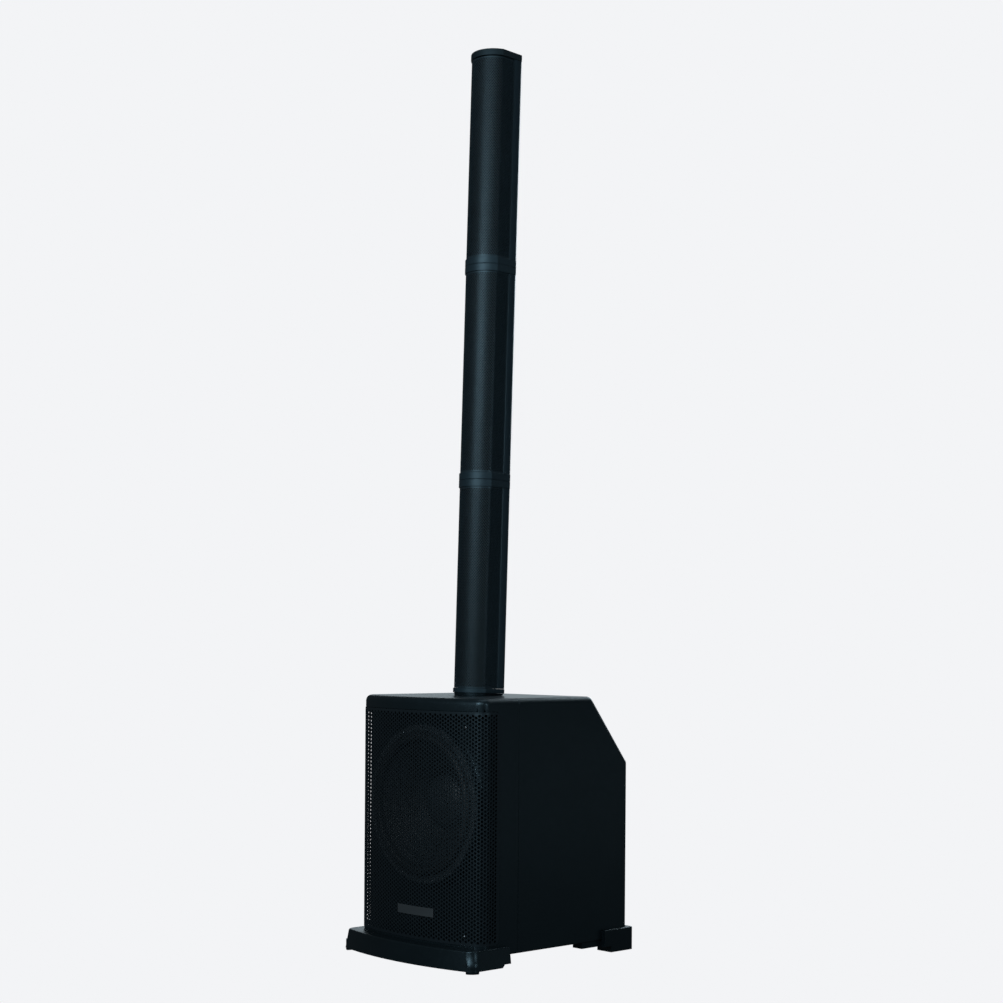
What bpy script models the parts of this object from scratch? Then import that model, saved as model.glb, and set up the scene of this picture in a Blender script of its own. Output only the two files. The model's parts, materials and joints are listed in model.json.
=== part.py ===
"""Column loudspeaker system: a moulded bass cabinet that carries a column of three lift-off sections.

Metres, +Z up, front towards -Y. The origin is on the floor under the middle of the object.
"""

from math import asin, atan2, cos, pi, radians, sin, sqrt, tan

import bmesh
import bpy
from mathutils import Matrix, Vector

GAP = 0.0003  # between neighbouring pieces
BIG = 0.3  # reach of a cutter past what it cuts

# Cabinet
CAB_HALF_WIDTH = 0.1790
CAB_BOTTOM = 0.025
CAB_TOP = 0.514
CAB_REAR = 0.227
SEAM_Y = -0.0795
CORNER_RADIUS = 0.024
BOW_CORNER_Y = -0.180  # where the bowed front meets the corner
BOW_DEPTH = 0.022
EDGE_RADIUS = 0.012
REAR_EDGE_RADIUS = 0.008
WALL = 0.006
SLOPE_TOP_Y = 0.1235
SLOPE_REAR_Z = 0.3834
BAFFLE_FRONT = -0.153
BAFFLE_BACK = -0.145
BAFFLE_HALF_WIDTH = 0.1762

# Bass grille
OPENING_LOW = 0.0465
OPENING_HIGH = 0.489
OPENING_BACK = -0.130
OPENING_RADIUS = 0.011
GRILLE_PROUD = 0.0010
GRILLE_THICKNESS = 0.0015
BADGE_SIZE = (0.100, 0.0016, 0.017)
BADGE_CENTRE = (0.020, 0.1015)  # across and up

# Woofer: radii, and depths behind the front of its ring
WOOFER_CENTRE = (0.0, -0.1715, 0.304)
RING_RADIUS = 0.155
RING_THICKNESS = 0.0052
BOSS_RADIUS = 0.161
WOOFER_HOLE = 0.1415
POLE_RADIUS = 0.0366
WOOFER_SIDES = 28
GAP_RADIUS = 0.0392

# Front plinth
PLINTH_HALF_WIDTH = 0.194
PLINTH_FRONT_Y = -0.215
PLINTH_RADIUS = 0.022
PLINTH_REAR_Y = -0.110
PLINTH_LOW = 0.005
PLINTH_HIGH = 0.043
PLINTH_DRAFT = 0.0055
PLINTH_WALL = 0.006
TAB_SIZE = 0.026

# Rear feet
FOOT_OUTER_X = 0.1885
FOOT_INNER_X = 0.150
FOOT_FRONT_Y = 0.153
FOOT_REAR_Y = 0.237
FOOT_HIGH = 0.046
FOOT_PAD_Y = 0.172  # the foot stands on the part behind this
FOOT_PAD_HEIGHT = 0.0125
LIP_FRONT_Y = 0.100

# Column
RAKE = radians(1.65)
COLUMN_Y = -0.035
SECTION_PITCH = 0.431
COLLAR_HEIGHT = 0.0145
CAP_HEIGHT = 0.0130
PEDESTAL_TOP = 0.0052
ARC_RADIUS = 0.049
COLUMN_HALF_WIDTH = 0.045
COLUMN_FRONT = -0.039
COLUMN_REAR = 0.045
COLUMN_REAR_RADIUS = 0.005
GRILLE_INSET = 0.0020
COLUMN_GRILLE_THICKNESS = 0.0012
COLUMN_GRILLE_BACK = 0.024
HOUSING_WALL = 0.003
SPIGOT_SIZE = (0.056, 0.030)
SPIGOT_LENGTH = 0.034
SPIGOT_CENTRE = (0, 0.0155)
SPIGOT_CLEARANCE = 0.0005
CUP_WALL = 0.003
DRIVER_PITCH = 0.094
DRIVERS = 4
CONE_THICKNESS = 0.0010
DRIVER_TURN = radians(5)  # turns the drivers' facets off the board's own lines
BOARD_FRONT = -0.0095
BOARD_BACK = -0.0067

# Rear equipment
PANEL_SIZE = (0.300, 0.136)
AMP_PLATE_SIZE = (0.270, 0.172)
AMP_PLATE_Z = 0.262
PLATE_THICKNESS = 0.0023
REBATE = 0.0033
LEDGE = 0.010
JACKS = {"combo_jack_1": (0.052, 0.310), "combo_jack_2": (0.096, 0.310), "link_jack": (0.074, 0.262)}
JACK_RADIUS = 0.0105
INLET_AT = (0.050, 0.208)
SWITCH_AT = (0.098, 0.208)
SWITCH_TILT = radians(7)
PORT_CENTRE = (0.0, 0.103)
PORT_RADIUS = 0.030
PORT_LENGTH = 0.095
KNOBS = ("mic_1_knob", "mic_2_knob", "line_knob", "bass_knob", "master_knob")
KNOB_PITCH = 0.048


def clear_scene():
    for obj in list(bpy.data.objects):
        bpy.data.objects.remove(obj)


def collection(name):
    made = bpy.data.collections.new(name)
    bpy.context.scene.collection.children.link(made)
    return made


clear_scene()
PARTS = collection("column_pa_system")
CUTTERS = collection("cutters")


def material(name, colour, roughness, metallic):
    made = bpy.data.materials.new(name)
    made.use_nodes = True
    shader = made.node_tree.nodes["Principled BSDF"]
    shader.inputs["Base Color"].default_value = (*colour, 1)
    shader.inputs["Roughness"].default_value = roughness
    shader.inputs["Metallic"].default_value = metallic
    return made


# (colour, roughness, metallic) of each finish
MOULDING = ((0.012, 0.018, 0.022), 0.42, 0.0)
COLLAR = ((0.020, 0.030, 0.038), 0.38, 0.0)
STEEL_SHEET = ((0.010, 0.014, 0.018), 0.40, 0.3)
CONE_PAPER = ((0.014, 0.015, 0.017), 0.75, 0.0)
RUBBER = ((0.010, 0.010, 0.011), 0.60, 0.0)
FRAME_STEEL = ((0.018, 0.020, 0.022), 0.50, 0.5)
FERRITE = ((0.030, 0.030, 0.032), 0.70, 0.2)
PANEL_PAINT = ((0.012, 0.014, 0.016), 0.48, 0.2)
KNOB_PLASTIC = ((0.022, 0.024, 0.027), 0.35, 0.0)
HEATSINK_METAL = ((0.020, 0.021, 0.023), 0.45, 0.8)
BOARD_GREEN = ((0.020, 0.090, 0.045), 0.55, 0.0)
BADGE_METAL = ((0.420, 0.440, 0.460), 0.35, 0.9)


# ---- outlines, in the XY plane


def arc(centre, radius, start, end, count):
    """count + 1 points from one angle to another, in degrees."""
    angles = [radians(start + (end - start) * i / count) for i in range(count + 1)]
    return [(centre[0] + radius * cos(a), centre[1] + radius * sin(a)) for a in angles]


def rectangle(half_x, half_y, centre=(0, 0)):
    x, y = centre
    return [(x - half_x, y - half_y), (x + half_x, y - half_y), (x + half_x, y + half_y), (x - half_x, y + half_y)]


def rounded_rectangle(half_x, half_y, radius, count=2, centre=(0, 0)):
    points = []
    for i, (sx, sy) in enumerate(((1, 1), (-1, 1), (-1, -1), (1, -1))):
        corner = (centre[0] + sx * (half_x - radius), centre[1] + sy * (half_y - radius))
        points += arc(corner, radius, 90 * i, 90 * i + 90, count)
    return points


def bowed_outline(half_width, front_y, rear_y, radius, offset=0.0, bow_count=12, corner_count=6):
    """A plan with a bowed front, round front corners and a straight back, moved outwards by offset."""
    chord = half_width - radius
    bow_radius = (chord**2 + BOW_DEPTH**2) / (2 * BOW_DEPTH)
    bow_centre = front_y - BOW_DEPTH + bow_radius
    corner_y = bow_centre - sqrt((bow_radius - radius) ** 2 - chord**2)
    spread = atan2(chord, bow_centre - corner_y) * 180 / pi
    right = arc((chord, corner_y), radius + offset, 0, spread - 90, corner_count)
    bow = arc((0, bow_centre), bow_radius + offset, spread - 90, -spread - 90, bow_count)
    left = arc((-chord, corner_y), radius + offset, -spread - 90, -180, corner_count)
    side = half_width + offset
    return [(side, rear_y)] + right + bow[1:-1] + left + [(-side, rear_y)]


def cabinet_outline(offset=0.0, rear_y=CAB_REAR):
    return bowed_outline(CAB_HALF_WIDTH, BOW_CORNER_Y, rear_y, CORNER_RADIUS, offset)


def plinth_outline(offset=0.0, rear_y=PLINTH_REAR_Y):
    return bowed_outline(PLINTH_HALF_WIDTH, PLINTH_FRONT_Y, rear_y, PLINTH_RADIUS, offset)


def column_outline(inset=0.0, count=10):
    """The column's plan: a round front, flat sides and a flat back with round corners."""
    radius = ARC_RADIUS - inset
    side = COLUMN_HALF_WIDTH - inset
    centre_y = COLUMN_FRONT + ARC_RADIUS
    half = asin(side / radius) * 180 / pi
    front = arc((0, centre_y), radius, -90 + half, -90 - half, count)
    rear = COLUMN_REAR - inset
    corner = COLUMN_REAR_RADIUS - inset
    left = arc((-side + corner, rear - corner), corner, 180, 90, 3)
    right = arc((side - corner, rear - corner), corner, 90, 0, 3)
    return front + left + right


# ---- meshes


def mesh_of(bm):
    bmesh.ops.recalc_face_normals(bm, faces=bm.faces)
    mesh = bpy.data.meshes.new("shape")
    bm.to_mesh(mesh)
    bm.free()
    return mesh


def evaluated(obj):
    """A copy of the object's evaluated mesh, and the object is removed."""
    bpy.context.view_layer.update()
    graph = bpy.context.evaluated_depsgraph_get()
    mesh = bpy.data.meshes.new_from_object(obj.evaluated_get(graph), depsgraph=graph)
    bpy.data.objects.remove(obj)
    return mesh


def slab(points, low, high):
    """A flat outline in XY with thickness from low to high."""
    curve = bpy.data.curves.new("outline", "CURVE")
    curve.dimensions = "2D"
    curve.fill_mode = "BOTH"
    curve.extrude = (high - low) / 2
    spline = curve.splines.new("POLY")
    spline.points.add(len(points) - 1)
    for point, (x, y) in zip(spline.points, points):
        point.co = (x, y, 0, 1)
    spline.use_cyclic_u = True
    obj = bpy.data.objects.new("outline", curve)
    CUTTERS.objects.link(obj)
    mesh = evaluated(obj)
    bm = bmesh.new()
    bm.from_mesh(mesh)
    bmesh.ops.remove_doubles(bm, verts=bm.verts, dist=1e-6)
    bmesh.ops.dissolve_limit(bm, angle_limit=0.002, verts=bm.verts, edges=bm.edges)
    bmesh.ops.translate(bm, verts=bm.verts, vec=(0, 0, (low + high) / 2))
    return mesh_of(bm)


def shifted(mesh, offset):
    mesh.transform(Matrix.Translation(offset))
    return mesh


def box(low, high):
    bm = bmesh.new()
    bmesh.ops.create_cube(bm, size=1)
    low, high = Vector(low), Vector(high)
    bmesh.ops.scale(bm, verts=bm.verts, vec=high - low)
    bmesh.ops.translate(bm, verts=bm.verts, vec=(low + high) / 2)
    return mesh_of(bm)


def rod(radius, low, high, count=24, centre=(0, 0)):
    return slab(arc(centre, radius, 0, 360 - 360 / count, count - 1), low, high)


def turned(profile, steps):
    """A closed profile of (radius, height) points, turned about Z."""
    bm = bmesh.new()
    verts = [bm.verts.new((r, 0, z)) for r, z in profile]
    for a, b in zip(verts, verts[1:]):
        bm.edges.new((a, b))
    if profile[0][0] > 0:
        bm.edges.new((verts[-1], verts[0]))
    mesh = bpy.data.meshes.new("profile")
    bm.to_mesh(mesh)
    bm.free()
    obj = bpy.data.objects.new("profile", mesh)
    CUTTERS.objects.link(obj)
    screw = obj.modifiers.new("Screw", "SCREW")
    screw.steps = steps
    screw.render_steps = steps
    screw.use_merge_vertices = True
    screw.merge_threshold = 1e-5
    shape = evaluated(obj)
    bm = bmesh.new()
    bm.from_mesh(shape)
    return mesh_of(bm)


def bevelled(mesh, pick, width, segments):
    """Bevels the edges that pick() gives a weight."""
    obj = bpy.data.objects.new("bevelled", mesh)
    CUTTERS.objects.link(obj)
    bm = bmesh.new()
    bm.from_mesh(mesh)
    layer = bm.edges.layers.float.new("bevel_weight_edge")
    for edge in bm.edges:
        edge[layer] = pick(edge)
    bm.to_mesh(mesh)
    bm.free()
    bevel = obj.modifiers.new("Bevel", "BEVEL")
    bevel.limit_method = "WEIGHT"
    bevel.width = width
    bevel.segments = segments
    return evaluated(obj)


def sharp(edge):
    """1 on a square edge, and less on a blunt one, so that every edge gets the same radius."""
    angle = edge.calc_face_angle(0)
    return tan(angle / 2) if angle > radians(30) else 0


# ---- objects


def frame(name, location, tilt=0.0, parent=None):
    """An empty, turned about X."""
    empty = bpy.data.objects.new(name, None)
    PARTS.objects.link(empty)
    empty.location = location
    empty.rotation_euler = (tilt, 0, 0)
    empty.parent = parent
    return empty


def piece(name, mesh, finish, parent=None, origin=(0, 0, 0)):
    """One named part; its mesh is given in the parent's space, and its origin is put at origin."""
    mesh.name = name
    shifted(mesh, -Vector(origin))
    mesh.materials.clear()
    mesh.materials.append(material(name, *finish))
    obj = bpy.data.objects.new(name, mesh)
    PARTS.objects.link(obj)
    obj.location = origin
    obj.parent = parent
    mesh.shade_smooth()
    mesh.set_sharp_from_angle(angle=radians(35))
    return obj


def tool(target, mesh, operation, parent=None, origin=(0, 0, 0)):
    """Cuts a mesh out of the target, or joins it on."""
    cutter = bpy.data.objects.new(target.name + "_" + operation.lower(), mesh)
    CUTTERS.objects.link(cutter)
    cutter.hide_render = True
    cutter.display_type = "WIRE"
    cutter.parent = parent
    cutter.location = origin
    boolean = target.modifiers.new(operation.title(), "BOOLEAN")
    boolean.operation = operation
    boolean.solver = "EXACT"
    boolean.object = cutter


def cut(target, mesh, parent=None, origin=(0, 0, 0)):
    tool(target, mesh, "DIFFERENCE", parent, origin)


def join(target, mesh, parent=None, origin=(0, 0, 0)):
    tool(target, mesh, "UNION", parent, origin)


# ---- reference frames

SLOPE_TILT = -(pi / 2 - atan2(CAB_REAR - SLOPE_TOP_Y, CAB_TOP - SLOPE_REAR_Z))
SLOPE = frame("slope", (0, (SLOPE_TOP_Y + CAB_REAR) / 2, (CAB_TOP + SLOPE_REAR_Z) / 2), SLOPE_TILT)
REAR = frame("rear", (0, CAB_REAR, 0), -pi / 2)
WOOFER = frame("woofer", WOOFER_CENTRE, pi / 2)
COLUMN = frame("column", (0, COLUMN_Y, CAB_TOP), -RAKE)


# ---- cabinet


def cabinet_body():
    """The whole cabinet's outside as one solid, before it is split at the seam."""
    body = bpy.data.objects.new("body", slab(cabinet_outline(), CAB_BOTTOM, CAB_TOP))
    CUTTERS.objects.link(body)
    cut(body, box((-BIG, -BIG, 0), (BIG, BIG, BIG)), SLOPE)
    mesh = evaluated(body)

    def pick(edge):
        if all(v.co.z < CAB_BOTTOM + 1e-4 for v in edge.verts):
            return sharp(edge) * 0.25
        a, b = (v.co for v in edge.verts)
        rear_upright = min(a.y, b.y) > CAB_REAR - 1e-4 and abs(a.x - b.x) < 1e-4
        return sharp(edge) * (REAR_EDGE_RADIUS / EDGE_RADIUS if rear_upright else 1)

    return bevelled(mesh, pick, EDGE_RADIUS, 4)


def grille_recess():
    """The space in front of the baffle and round its two edges, with round corners seen from the side."""
    outer, inner = BIG, BAFFLE_HALF_WIDTH
    points = [(-outer, OPENING_BACK), (-outer, -BIG), (outer, -BIG), (outer, OPENING_BACK)]
    points += [(inner, OPENING_BACK), (inner, BAFFLE_FRONT), (-inner, BAFFLE_FRONT), (-inner, OPENING_BACK)]

    def pick(edge):
        a, b = (v.co for v in edge.verts)
        return 1.0 if abs(a.y - OPENING_BACK) + abs(b.y - OPENING_BACK) < 1e-5 and abs(a.z - b.z) < 1e-5 else 0

    return bevelled(slab(points, OPENING_LOW, OPENING_HIGH), pick, OPENING_RADIUS, 4)


def front_shell(body):
    shell = piece("front_shell", body.copy(), MOULDING)
    cut(shell, box((-BIG, SEAM_Y - GAP / 2, -BIG), (BIG, BIG, 2 * BIG)))
    inside = CAB_HALF_WIDTH - WALL
    cut(shell, box((-inside, BAFFLE_BACK, CAB_BOTTOM + WALL), (inside, 0, CAB_TOP - WALL)))
    cut(shell, grille_recess())
    for low, high in ((CAB_BOTTOM - WALL, OPENING_LOW - 0.004), (OPENING_HIGH - 0.01, CAB_TOP - 0.007)):
        cut(shell, box((-0.140, -0.176, low), (0.140, -0.158, high)))
    ring = WOOFER_CENTRE[1] + RING_THICKNESS + GAP
    join(shell, rod(BOSS_RADIUS, -0.022, WOOFER_CENTRE[1] - ring, 32), WOOFER)
    cut(shell, rod(WOOFER_HOLE + 0.001, -0.05, 0.05, 32), WOOFER)


def rear_shell(body):
    shell = piece("rear_shell", body, MOULDING)
    cut(shell, box((-BIG, -BIG, -BIG), (BIG, SEAM_Y + GAP / 2, 2 * BIG)))
    inside = CAB_HALF_WIDTH - WALL
    hollow = bpy.data.objects.new(
        "hollow", box((-inside, -0.12, CAB_BOTTOM + WALL), (inside, CAB_REAR - WALL, CAB_TOP - WALL))
    )
    CUTTERS.objects.link(hollow)
    cut(hollow, box((-BIG, -BIG, -WALL), (BIG, BIG, BIG)), SLOPE)
    cut(shell, evaluated(hollow))
    for size, parent, centre in ((PANEL_SIZE, SLOPE, (0, 0, 0)), (AMP_PLATE_SIZE, REAR, (0, -AMP_PLATE_Z, 0))):
        half_x, half_y = size[0] / 2 + GAP, size[1] / 2 + GAP
        cut(shell, slab(rounded_rectangle(half_x, half_y, 0.004), -REBATE, 0.05), parent, centre)
        opening = rounded_rectangle(half_x - LEDGE, half_y - LEDGE, 0.004)
        cut(shell, slab(opening, -0.03, 0.05), parent, centre)
    cut(shell, rod(PORT_RADIUS + 0.0036, -0.03, 0.03, 24), REAR, (PORT_CENTRE[0], -PORT_CENTRE[1], 0))
    hole = rounded_rectangle(SPIGOT_SIZE[0] / 2 + 0.0048, SPIGOT_SIZE[1] / 2 + 0.0058, 0.009, centre=SPIGOT_CENTRE)
    cut(shell, slab(hole, -0.05, 0.03), COLUMN)


def sub_grille():
    sheet = slab(cabinet_outline(GRILLE_PROUD, OPENING_BACK - GAP), OPENING_LOW + GAP, OPENING_HIGH - GAP)

    def pick(edge):
        a, b = (v.co for v in edge.verts)
        level = abs(a.z - b.z) < 1e-5
        return 1.0 if level and min(a.y, b.y) > OPENING_BACK - 0.001 else 0

    grille = piece("sub_grille", bevelled(sheet, pick, OPENING_RADIUS, 4), STEEL_SHEET)
    inner = cabinet_outline(GRILLE_PROUD - GRILLE_THICKNESS, 0.0)
    cut(grille, slab(inner, 0, 2 * BIG))


def badge():
    """A plain plate that follows the bow of the grille."""
    chord = CAB_HALF_WIDTH - CORNER_RADIUS
    bow_radius = (chord**2 + BOW_DEPTH**2) / (2 * BOW_DEPTH)
    centre = (0, BOW_CORNER_Y - BOW_DEPTH + bow_radius)
    inner = bow_radius + GRILLE_PROUD + GAP
    middle = -90 + BADGE_CENTRE[0] / bow_radius * 180 / pi
    half = BADGE_SIZE[0] / 2 / bow_radius * 180 / pi
    points = arc(centre, inner + BADGE_SIZE[1], middle - half, middle + half, 6)
    points += arc(centre, inner, middle + half, middle - half, 6)
    low = BADGE_CENTRE[1] - BADGE_SIZE[2] / 2
    piece("badge", slab(points, low, low + BADGE_SIZE[2]), BADGE_METAL)


def front_plinth():
    skirt = slab(plinth_outline(), PLINTH_LOW, PLINTH_HIGH)
    reach = BOW_DEPTH - PLINTH_FRONT_Y + PLINTH_REAR_Y
    for vert in skirt.vertices:
        if vert.co.z > PLINTH_HIGH - 1e-4:
            vert.co.x *= 1 - PLINTH_DRAFT / PLINTH_HALF_WIDTH
            vert.co.y = PLINTH_REAR_Y + (vert.co.y - PLINTH_REAR_Y) * (1 - PLINTH_DRAFT / reach)

    def pick(edge):
        top = all(v.co.z > PLINTH_HIGH - 1e-4 for v in edge.verts)
        back = all(v.co.y > PLINTH_REAR_Y - 1e-4 for v in edge.verts)
        return 1.0 if top and not back and edge.calc_face_angle(0) > radians(30) else 0

    plinth = piece("front_plinth", bevelled(skirt, pick, 0.003, 3), MOULDING)
    cut(plinth, slab(plinth_outline(-PLINTH_WALL, 0.0), -0.01, CAB_BOTTOM - WALL))
    cut(plinth, slab(cabinet_outline(GAP + 0.0001), CAB_BOTTOM - GAP, 0.1))
    notch = box((-BIG, -0.132, -0.1), (BIG, 0, PLINTH_LOW + 0.006))

    def corner(edge):
        return 1.0 if all(v.co.y < -0.13 and v.co.z > 0 for v in edge.verts) else 0

    cut(plinth, bevelled(notch, corner, 0.0058, 1))
    inner_x = PLINTH_HALF_WIDTH - TAB_SIZE
    outline = plinth_outline(-0.001)
    for side in (-1, 1):
        edge = [p for p in outline if p[0] * side > inner_x and p[1] < PLINTH_FRONT_Y + TAB_SIZE + 0.0005]
        inner = (side * inner_x, PLINTH_FRONT_Y + TAB_SIZE)

        def low(e):
            return 1.0 if all(v.co.z < 1e-4 for v in e.verts) else 0

        join(plinth, bevelled(slab(edge + [inner], 0, 0.022), low, 0.0015, 2))


def rear_foot(name, side):
    def at(x, y):
        return (side * x, y)

    plan = [at(FOOT_INNER_X, FOOT_FRONT_Y), at(FOOT_OUTER_X, FOOT_FRONT_Y)]
    radius = 0.006
    for x, y in arc((FOOT_OUTER_X - radius, FOOT_REAR_Y - radius), radius, 0, 90, 4):
        plan.append(at(x, y))
    plan.append(at(FOOT_INNER_X, FOOT_REAR_Y))
    block = slab(plan, 0, FOOT_HIGH)

    def pick(edge):
        return 1.0 if all(v.co.z > FOOT_HIGH - 1e-4 for v in edge.verts) else 0

    foot = piece(name, bevelled(block, pick, 0.0015, 2), MOULDING)
    lip_x = sorted((side * (FOOT_INNER_X + 0.001), side * (CAB_HALF_WIDTH - 0.003)))
    low, high = 0.013, CAB_BOTTOM - GAP
    join(foot, box((lip_x[0], LIP_FRONT_Y, low), (lip_x[1], FOOT_FRONT_Y + 0.01, high + 0.001)))
    cut(foot, slab(rectangle(CAB_HALF_WIDTH + GAP + 0.0001, CAB_REAR + GAP + 0.0001), high, 0.1))
    cut(foot, box((-BIG, 0, -0.1), (BIG, FOOT_PAD_Y, FOOT_PAD_HEIGHT)))


# ---- woofer, in the WOOFER frame: Z towards the listener


def woofer():
    ring = RING_THICKNESS
    outer = [(RING_RADIUS - 0.0015, 0), (RING_RADIUS, -0.0015), (RING_RADIUS, -ring)]
    outer += [(WOOFER_HOLE - 0.0012, -ring), (WOOFER_HOLE - 0.003, -0.020), (0.088, -0.090)]
    outer += [(0.084, -0.098)]
    inner = [(0.046, -0.098), (0.046, -0.0955), (0.060, -0.0955), (0.084, -0.087), (0.1340, -0.022)]
    inner += [(0.1360, -0.0026), (0.1445, -0.0022), (0.1445, 0)]
    basket = piece("woofer_frame", turned(inner + outer, WOOFER_SIDES), FRAME_STEEL, WOOFER)
    for i in range(3):
        window = box((-0.2, -0.030, -0.080), (0.2, 0.030, -0.027))
        turn = frame("window_%d" % i, (0, 0, 0), 0, WOOFER)
        turn.rotation_euler = (0, 0, pi / 3 * i)
        cut(basket, window, turn)

    front, groove, back = -0.0983, -0.124, -0.134
    profile = [(0.012, -0.100), (POLE_RADIUS, -0.100), (POLE_RADIUS, groove), (GAP_RADIUS, groove)]
    profile += [(GAP_RADIUS, front), (0.060, front), (0.060, -0.106), (0.078, -0.1065), (0.078, -0.126)]
    profile += [(0.066, -0.1265), (0.066, back), (0.012, back)]
    piece("woofer_magnet", turned(profile, 24), FERRITE, WOOFER)

    # Front face from the middle of the dust cap out to the edge, then back along the underside.
    cap = [(0.0, -0.0450), (0.0300, -0.0490), (0.0540, -0.0600)]
    profile = cap + [(0.0545, -0.0620), (0.0900, -0.0340), (0.1218, -0.0035), (0.1218, -0.0050)]
    profile += [(0.0900, -0.0364), (0.0386, -0.0772), (0.0386, -0.114), (0.0373, -0.114)]
    profile += [(0.0373, -0.0755), (0.0500, -0.0640), (0.0490, -0.0600), (0.0300, -0.0507), (0.0, -0.0467)]
    piece("woofer_cone", turned(profile, WOOFER_SIDES), CONE_PAPER, WOOFER)

    # Half-roll surround: its outer lip lies on the frame's ledge, and the cone's edge is just inside it.
    roll = [(0.1310 + 0.0085 * cos(a), 0.0075 * sin(a) - 0.0005) for a in (pi, 2.2, 0.94, 0)]
    front = [(0.1222, -0.0034)] + roll + [(0.1440, -0.0003)]
    back = [(r, z - 0.0015) for r, z in reversed(front)]
    piece("woofer_surround", turned(front + back, WOOFER_SIDES), RUBBER, WOOFER)


# ---- column


def spigot_bore():
    half_x, half_y = (size / 2 + SPIGOT_CLEARANCE for size in SPIGOT_SIZE)
    return rounded_rectangle(half_x, half_y, 0.005, centre=SPIGOT_CENTRE)


def column_socket():
    """The wedge under the column, level with its rake, and the cup that takes the lowest spigot."""
    top = slab(column_outline(0.0020), -0.006, PEDESTAL_TOP)
    for vert in top.vertices:
        if vert.co.z < 0:
            vert.co.x *= 0.94
            vert.co.y *= 0.94
    socket = piece("column_socket", top, MOULDING, COLUMN)
    cut(socket, box((-BIG, -BIG, -BIG), (BIG, BIG, CAB_TOP + GAP)))
    half_x, half_y = SPIGOT_SIZE[0] / 2, SPIGOT_SIZE[1] / 2
    cup = rounded_rectangle(half_x + 0.0035, half_y + 0.0035, 0.008, centre=SPIGOT_CENTRE)
    join(socket, slab(cup, -SPIGOT_LENGTH - 0.005, 0.003), COLUMN)
    cut(socket, slab(spigot_bore(), -SPIGOT_LENGTH - 0.001, 0.05), COLUMN)


def driver_basket(board, seat):
    """A round flange, the pressed cup behind it and the magnet, over a hole in the board."""
    cut(board, rod(0.0345, -0.02, 0.02, 12), seat)
    outer = [(0.038, 0.0), (0.038, -0.0036), (0.0355, -0.0062), (0.024, -0.019), (0.024, -0.032), (0, -0.032)]
    inner = [(0, -0.0165), (0.0235, -0.0165), (0.0318, -0.0060), (0.0330, 0.0)]
    cup = turned(inner + outer, 12)
    cup.transform(Matrix.Rotation(DRIVER_TURN, 4, "Z"))
    join(board, cup, seat)


def driver_cone(name, seat):
    front = [(0.0, -0.0010), (0.0105, -0.0042), (0.0240, 0.0004), (0.0290, 0.0028), (0.0322, 0.0003)]
    back = [(r, z - CONE_THICKNESS) for r, z in reversed(front)]
    cone = turned(front + back, 12)
    cone.transform(Matrix.Rotation(DRIVER_TURN, 4, "Z"))
    piece(name, cone, CONE_PAPER, seat)


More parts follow.
